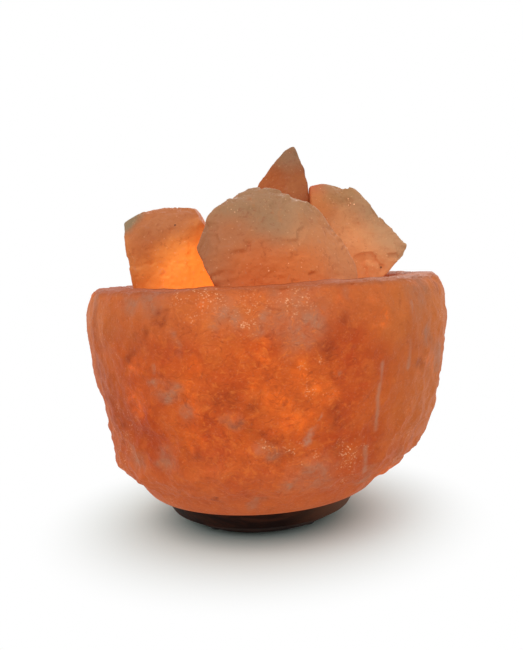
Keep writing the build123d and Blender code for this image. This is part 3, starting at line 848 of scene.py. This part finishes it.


# Each stone's two tones, patches of (spot, reach, colour, share) and, where the bulb shines through,
# (spot, reach, strength). Most patches are the stone's own colour; the bright orange ones low on the
# left block and the front boulder are painted light of the bulb through the salt.
stoneLooks = {
    "usual": {"deep": (192, 106, 56), "light": (214, 132, 80), "blotchesAndGlowPatches": ()},
    "left_block": {"deep": (196, 104, 50), "light": (212, 124, 66), "blotchesAndGlowPatches": (
        ((-37, -15, 147), 16, (184, 112, 70), 0.7), ((-56, -10, 143), 7, (142, 122, 92), 0.9),
        # painted light: these two bright orange patches low down, where the bulb shines through
        ((-20, -16, 112), 20, (252, 150, 56), 0.9), ((-38, -18, 110), 15, (236, 136, 58), 0.5)),
        "shining": ((-20, -16, 111), 34, 0.38)},
    "front_boulder": {"deep": (190, 110, 66), "light": (204, 128, 84), "blotchesAndGlowPatches": (
        ((8, -50, 143), 26, (160, 122, 88), 0.85), ((30, -44, 144), 14, (180, 132, 94), 0.6),
        ((38, -50, 122), 18, (214, 134, 84), 0.9), ((-8, -54, 127), 13, (186, 106, 62), 0.8),
        # painted light: the last two patches, orange at a height of 114 mm, lit by the bulb from below
        ((-20, -44, 130), 9, (164, 106, 70), 0.7), ((8, -58, 114), 14, (214, 108, 50), 0.85),
        ((24, -58, 114), 12, (220, 118, 58), 0.8))},
    "right_slab": {"deep": (192, 116, 68), "light": (208, 136, 86), "blotchesAndGlowPatches": (
        ((34, 6, 156), 6, (200, 88, 56), 0.8), ((34, 2, 148), 7, (208, 124, 64), 0.6),
        ((63, 4, 148), 12, (174, 136, 100), 0.7), ((73, 0, 132), 14, (172, 132, 96), 0.7),
        ((79, 2, 126), 10, (174, 140, 106), 0.7), ((46, 4, 156), 9, (168, 126, 84), 0.7)),
        "shining": ((62, 2, 112), 34, 0.35)},
    "back_spire": {"deep": (156, 82, 40), "light": (170, 98, 52), "blotchesAndGlowPatches": (
        ((25, 24, 178), 12, (148, 108, 78), 0.9), ((10, 14, 156), 9, (178, 90, 38), 0.6))},
}
stoneSparkle = {
    "front_boulder": ((15, -58, 118, 7.0), (-8, -42, 146, 5.0), (4, -40, 152, 4.5), (18, -38, 151, 4.5),
                      (1, -46, 140, 1.2), (10, -54, 132, 1.2), (46, -50, 128, 1.2)),
    "right_slab": ((50, 4, 146, 5.5), (63, 6, 140, 5.0), (35, 6, 156, 1.5), (44, 4, 148, 2.0),
                   (52, 0, 130, 3.0)),
}
stoneLayers = {
    "raggedness": (10, 3.5),
    "clouds": (20, 5),
    "cloudLevels": (0.36, 0.64),
    "patchSpread": 1.7,
    "streakSwirl": (8, 2),
    "streakStretch": (1.0, 1.0, 0.45),
    "streak": (4.5, 4, 0.65),
    "streakPale": (0.5, 0.85, 0.35),
    "pits": (5, 3, 2.4, 4, 0.7),
    "pitDark": (0.46, 0.3, 0.3),
    "pitPale": (0.56, 0.72, 0.3),
    "paintedGlints": (1.6, (0.28, 0.12), 2.6, (0.5, 0.62)),
    "glintZoneShare": 0.22,
    "sparkleSpread": 1.6,
    "gritSize": 9,
    "grit": (0.07, 0.04, 0.8),
    "gritTone": srgb(70, 38, 26),
    "bulbNear": ((0, 0, 84), 72),
    "bulbShare": 0.3,
    "glow": 0.14,
    "bulbGlow": 0.4,
    "glintGlow": 0.2,
    "rough": (0.4, 0.3, 0.2),
    "lumps": (6, 0.9),
}


def stoneSalt(body):
    m = Recipe(f"stoneSalt_{body}", **saltShine)
    look, s = stoneLooks.get(body, stoneLooks["usual"]), stoneLayers
    place = m.place()
    ragged = m.swirl(place, *s["raggedness"])
    clouds = m.noise(ragged, *s["clouds"]).step(*s["cloudLevels"])
    blotchesAndGlowPatches = [(m.near(ragged, spot, s["patchSpread"] * reach) * share, srgb(*colour))
                for spot, reach, colour, share in look["blotchesAndGlowPatches"]]
    streak = m.noise(m.stretched(m.swirl(place, *s["streakSwirl"]), s["streakStretch"]), *s["streak"])
    pit = m.raggedNoise(place, *s["pits"])
    # painted glints: small bright specks, which also glow
    glintSpeck = paintedGlints(m, place, *s["paintedGlints"])
    zone = s["glintZoneShare"]
    for x, y, z, reach in stoneSparkle.get(body, ()):
        zone = m.near(ragged, (x, y, z), s["sparkleSpread"] * reach).atLeast(zone)
    # Painted light of the bulb through the salt: near it the stones take its lit colour and glow.
    inside = m.near(place, *s["bulbNear"])
    tone = m.layered(
        m.mix(clouds, srgb(*look["deep"]), srgb(*look["light"])),
        *blotchesAndGlowPatches,
        (streak.band(*s["streakPale"]), saltLook["tan"]),
        (pit.band(*s["pitDark"]), saltLook["stain"]),
        (pit.band(*s["pitPale"]), saltLook["bruise"]),
        (glintSpeck * zone, saltLook["spark"]),
        (m.cells(place, s["gritSize"]).band(*s["grit"]), s["gritTone"]),
        (inside * s["bulbShare"], saltLook["lit"]))
    glow = s["glow"] + s["bulbGlow"] * inside + s["glintGlow"] * glintSpeck * zone
    if "shining" in look:
        spot, reach, strength = look["shining"]
        glow = glow + strength * m.near(ragged, spot, reach)
    return finishSalt(m, place, tone, glow, glintSpeck, s)


bowlSkin.data.materials.append(bowlSalt())
for body, stone in stonePieces.items():
    stone.data.materials.append(stoneSalt(body))
report("salt mixed")

# ---- finishes of the CAD nodes

wood = {
    "deep": srgb(30, 12, 8),
    "light": srgb(66, 34, 23),
    "poreTone": srgb(18, 8, 6),
    "pale": srgb(122, 82, 62),
    "paleFrom": (0.008, 0.044, 0.85),   # metres along X, and its share
    "ringSwirl": (30, 3),
    "ringStretch": (0.12, 1.0, 1.0),
    "rings": (5, 5, 0.6, 0.6),
    "ringLevels": (0.35, 0.65),
    "poreStretch": (0.06, 1.0, 1.0),
    "pores": (0.9, 3, 0.7),
    "poreLevels": (0.5, 0.72, 0.6),
    "grainDepth": 0.25,
    "poreHeight": 0.6,
    "ringHeight": 0.4,
    "rough": 0.42,
    "ringRough": 0.2,
}


def darkWood():
    # The grain runs along X: the rings are a noise drawn out along it, and the pores a finer one
    # drawn out further. Its right-hand side is paler.
    m = Recipe("darkWood", Specular_IOR_Level=0.06)
    s = wood
    place = m.place()
    rings = m.noise(m.stretched(m.swirl(place, *s["ringSwirl"]), s["ringStretch"]), *s["rings"])
    pores = m.noise(m.stretched(place, s["poreStretch"]), *s["pores"])
    tone = m.layered(
        m.mix(rings.step(*s["ringLevels"]), s["deep"], s["light"]),
        (pores.band(*s["poreLevels"]), s["poreTone"]),
        (m.axis(place, "X").band(*s["paleFrom"]), s["pale"]))
    grain = m.bump(s["poreHeight"] * pores + s["ringHeight"] * rings, s["grainDepth"])
    m.set(Base_Color=tone, Roughness=s["rough"] + s["ringRough"] * rings, Normal=grain)
    return m.material


def felt():
    # Fluff in two tones of one ragged noise, which also lifts it.
    m = Recipe("felt", Sheen_Weight=0.4, Sheen_Roughness=0.6)
    fluff = m.raggedNoise(m.place(), 1.2, 0.6, 0.7, 5, 0.75)
    tone = m.mix(fluff.step(0.35, 0.7), srgb(24, 22, 21), srgb(58, 54, 50))
    m.set(Base_Color=tone, Roughness=0.9, Normal=m.bump(fluff, 0.35))
    return m.material


def metal(name, dull, bright, rough, scratchSize=1.6):
    # Two tones by a cloud and by fine lines that run round about the upright, and are rougher.
    m = Recipe(name, Metallic=1.0)
    place = m.place()
    cloud = m.noise(place, 9, 4)
    lines = m.noise(m.stretched(place, (1.0, 1.0, 9.0)), scratchSize, 3, 0.6)
    tone = m.mix((0.6 * cloud + 0.4 * lines).step(0.35, 0.65), srgb(*dull), srgb(*bright))
    m.set(Base_Color=tone, Roughness=rough - 0.08 + 0.2 * lines, Normal=m.bump(lines, 0.02))
    return m.material


def plastic(name, deep, light, rough):
    # Moulded: a fine orange-peel grain and slightly uneven gloss.
    m = Recipe(name)
    place = m.place()
    cloud = m.noise(place, 11, 4)
    peel = m.noise(place, 0.8, 2)
    tone = m.mix(cloud.step(0.3, 0.7), srgb(*deep), srgb(*light))
    m.set(Base_Color=tone, Roughness=rough + 0.15 * cloud, Normal=m.bump(peel, 0.04))
    return m.material


def clearGlass(name, tint):
    # Clear, with a faint haze in its tint and the slow waves of blown glass.
    m = Recipe(name, IOR=1.47, Transmission_Weight=1.0)
    place = m.place()
    haze = m.noise(place, 8, 4)
    m.set(Base_Color=m.mix(haze.step(0.3, 0.8), srgb(*tint), srgb(255, 253, 248)))
    m.set(Roughness=0.01 + 0.05 * haze, Normal=m.bump(m.noise(place, 14, 2), 0.1))
    return m.material


def tungsten():
    # A hot coil, whose turns are a noise squeezed along X.
    m = Recipe("tungsten", Metallic=1.0, Emission_Strength=6.0)
    coil = m.noise(m.stretched(m.place(), (6.0, 1.0, 1.0)), 2.0, 2)
    m.set(Base_Color=m.mix(coil, srgb(90, 84, 80), srgb(140, 132, 124)), Roughness=0.4 + 0.2 * coil)
    m.set(Emission_Color=m.mix(coil, srgb(255, 150, 60), srgb(255, 206, 130)))
    return m.material


finishes = {
    "dark_wood": darkWood(),
    "felt": felt(),
    "steel": metal("steel", (128, 130, 132), (176, 178, 180), 0.32),
    "spring_steel": metal("springSteel", (98, 100, 108), (150, 154, 162), 0.28),
    "plug_plastic": plastic("plugPlastic", (150, 150, 146), (172, 172, 168), 0.45),
    "holder_plastic": plastic("holderPlastic", (22, 21, 20), (34, 33, 31), 0.34),
    "porcelain": plastic("porcelain", (226, 222, 210), (240, 237, 228), 0.12),
    "brass": metal("brass", (168, 128, 62), (214, 176, 96), 0.26),
    "cap_metal": metal("capMetal", (158, 152, 140), (198, 194, 184), 0.3, 1.0),
    "black_glass": plastic("blackGlass", (14, 14, 18), (24, 24, 30), 0.08),
    "solder": metal("solder", (120, 122, 126), (168, 170, 174), 0.34),
    "bulb_glass": clearGlass("bulbGlass", (255, 244, 226)),
    "stem_glass": clearGlass("stemGlass", (226, 240, 236)),
    "tungsten": tungsten(),
}
for node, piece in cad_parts.items():
    for slot in piece.material_slots:
        if slot.material and slot.material.name in finishes:
            slot.material = finishes[slot.material.name]
report("finishes set")

# ---- camera, floor and lights

camera = {
    "place": (2.98, -352.08, 122.13),
    "yaw": 0.255,
    "down": 5.05,
    "roll": -3.06,
    "focalPixels": 735.0,
    "widthPixels": 523,
}


def placed(right, up, back, place):
    # The matrix of an object with these unit axes at this place in metres.
    return Matrix([(right[i], up[i], back[i], place[i]) for i in range(3)] + [(0, 0, 0, 1)])


def addCamera():
    # Three unit directions: forwards from yaw and tilt, right and up at right angles to it,
    # turned about it by the roll.
    s = camera
    yaw, down, roll = (math.radians(s[k]) for k in ("yaw", "down", "roll"))
    forward = np.array([math.sin(yaw) * math.cos(down), math.cos(yaw) * math.cos(down), -math.sin(down)])
    level = np.cross(forward, [0, 0, 1])
    level = level / np.linalg.norm(level)
    upright = np.cross(level, forward)
    right = math.cos(roll) * level + math.sin(roll) * upright
    up = -math.sin(roll) * level + math.cos(roll) * upright
    lens = bpy.data.cameras.new("photo_camera")
    lens.sensor_fit = "HORIZONTAL"
    lens.sensor_width = 36
    lens.lens = s["focalPixels"] / s["widthPixels"] * lens.sensor_width
    lens.clip_start = 0.01
    eye = addObject("photo_camera", lens)
    eye.matrix_world = placed(right, up, -forward, [c * mm for c in s["place"]])
    bpy.context.scene.camera = eye


addCamera()

directRays = ("Is Camera Ray", "Is Glossy Ray", "Is Transmission Ray")
floor = {
    "halfWidth": 3.0,
    "colour": (0.76, 0.88, 0.82, 1.0),
    "fadeFrom": 32.0,
    "fadeTo": 112.0,
}


def addFloor():
    # A square that takes light and shadow near the lamp and, where it is seen, fades to white.
    side = floor["halfWidth"]
    corners = [(-side, -side, 0), (side, -side, 0), (side, side, 0), (-side, side, 0)]
    mesh = bpy.data.meshes.new("floor")
    mesh.from_pydata(corners, [], [(0, 1, 2, 3)])
    ground = addObject("floor", mesh)
    m = Recipe("paleFloor", Base_Color=floor["colour"], Roughness=0.9, Specular_IOR_Level=0.1)
    seen = [m.node("LightPath", out=name) for name in directRays]
    shown = seen[0].atLeast(seen[1]).atLeast(seen[2])
    away = (m.distance(m.place(), (0, 0, 0)) / mm).step(floor["fadeFrom"], floor["fadeTo"])
    white = m.node("Emission", sockets={"Color": (1, 1, 1, 1), "Strength": 1.0})
    both = m.node("MixShader", sockets={0: shown * away, 1: Field(m, m.shader.outputs[0]), 2: white})
    m.tree.links.new(both.socket, m.output.inputs["Surface"])
    mesh.materials.append(m.material)


addFloor()

light = {
    "skyLevel": 0.4,
    "aimHeight": 0.08,
    "key": ((-0.7, -1.0, 1.3), 1.2, 10.0),      # place and size in metres, power in watts
    "fill": ((1.0, -0.8, 0.9), 1.2, 3.6),
    "back": ((0.3, 1.2, 1.0), 1.2, 6.0),
}


def addSky():
    # White wherever it is seen, reflected or looked at through glass; dimmer as a light.
    world = bpy.data.worlds.new("studio")
    bpy.context.scene.world = world
    world.use_nodes = True
    tree = world.node_tree
    tree.nodes.clear()
    ray = tree.nodes.new("ShaderNodeLightPath")
    output = tree.nodes.new("ShaderNodeOutputWorld")
    lit, seen = tree.nodes.new("ShaderNodeBackground"), tree.nodes.new("ShaderNodeBackground")
    lit.inputs["Strength"].default_value = light["skyLevel"]
    lit.inputs["Color"].default_value = seen.inputs["Color"].default_value = (1, 1, 1, 1)
    most = ray.outputs[directRays[0]]
    for name in directRays[1:]:
        larger = tree.nodes.new("ShaderNodeMath")
        larger.operation = "MAXIMUM"
        tree.links.new(most, larger.inputs[0])
        tree.links.new(ray.outputs[name], larger.inputs[1])
        most = larger.outputs[0]
    both = tree.nodes.new("ShaderNodeMixShader")
    tree.links.new(most, both.inputs[0])
    tree.links.new(lit.outputs[0], both.inputs[1])
    tree.links.new(seen.outputs[0], both.inputs[2])
    tree.links.new(both.outputs[0], output.inputs["Surface"])


def addLamp(name, place, size, power):
    # A square lamp that shines at a spot on the upright axis, with its side level.
    lamp = bpy.data.lights.new(name, "AREA")
    lamp.shape = "SQUARE"
    lamp.size = size
    lamp.energy = power
    back = np.array(place) - np.array([0, 0, light["aimHeight"]])
    back = back / np.linalg.norm(back)
    side = np.cross([0, 0, 1], back)
    side = side / np.linalg.norm(side)
    addObject(name, lamp).matrix_world = placed(side, np.cross(back, side), back, place)


addSky()
for lampName in ("key", "fill", "back"):
    addLamp(f"{lampName}_lamp", *light[lampName])
bpy.context.scene.view_settings.view_transform = "Standard"
report("camera and lights set")
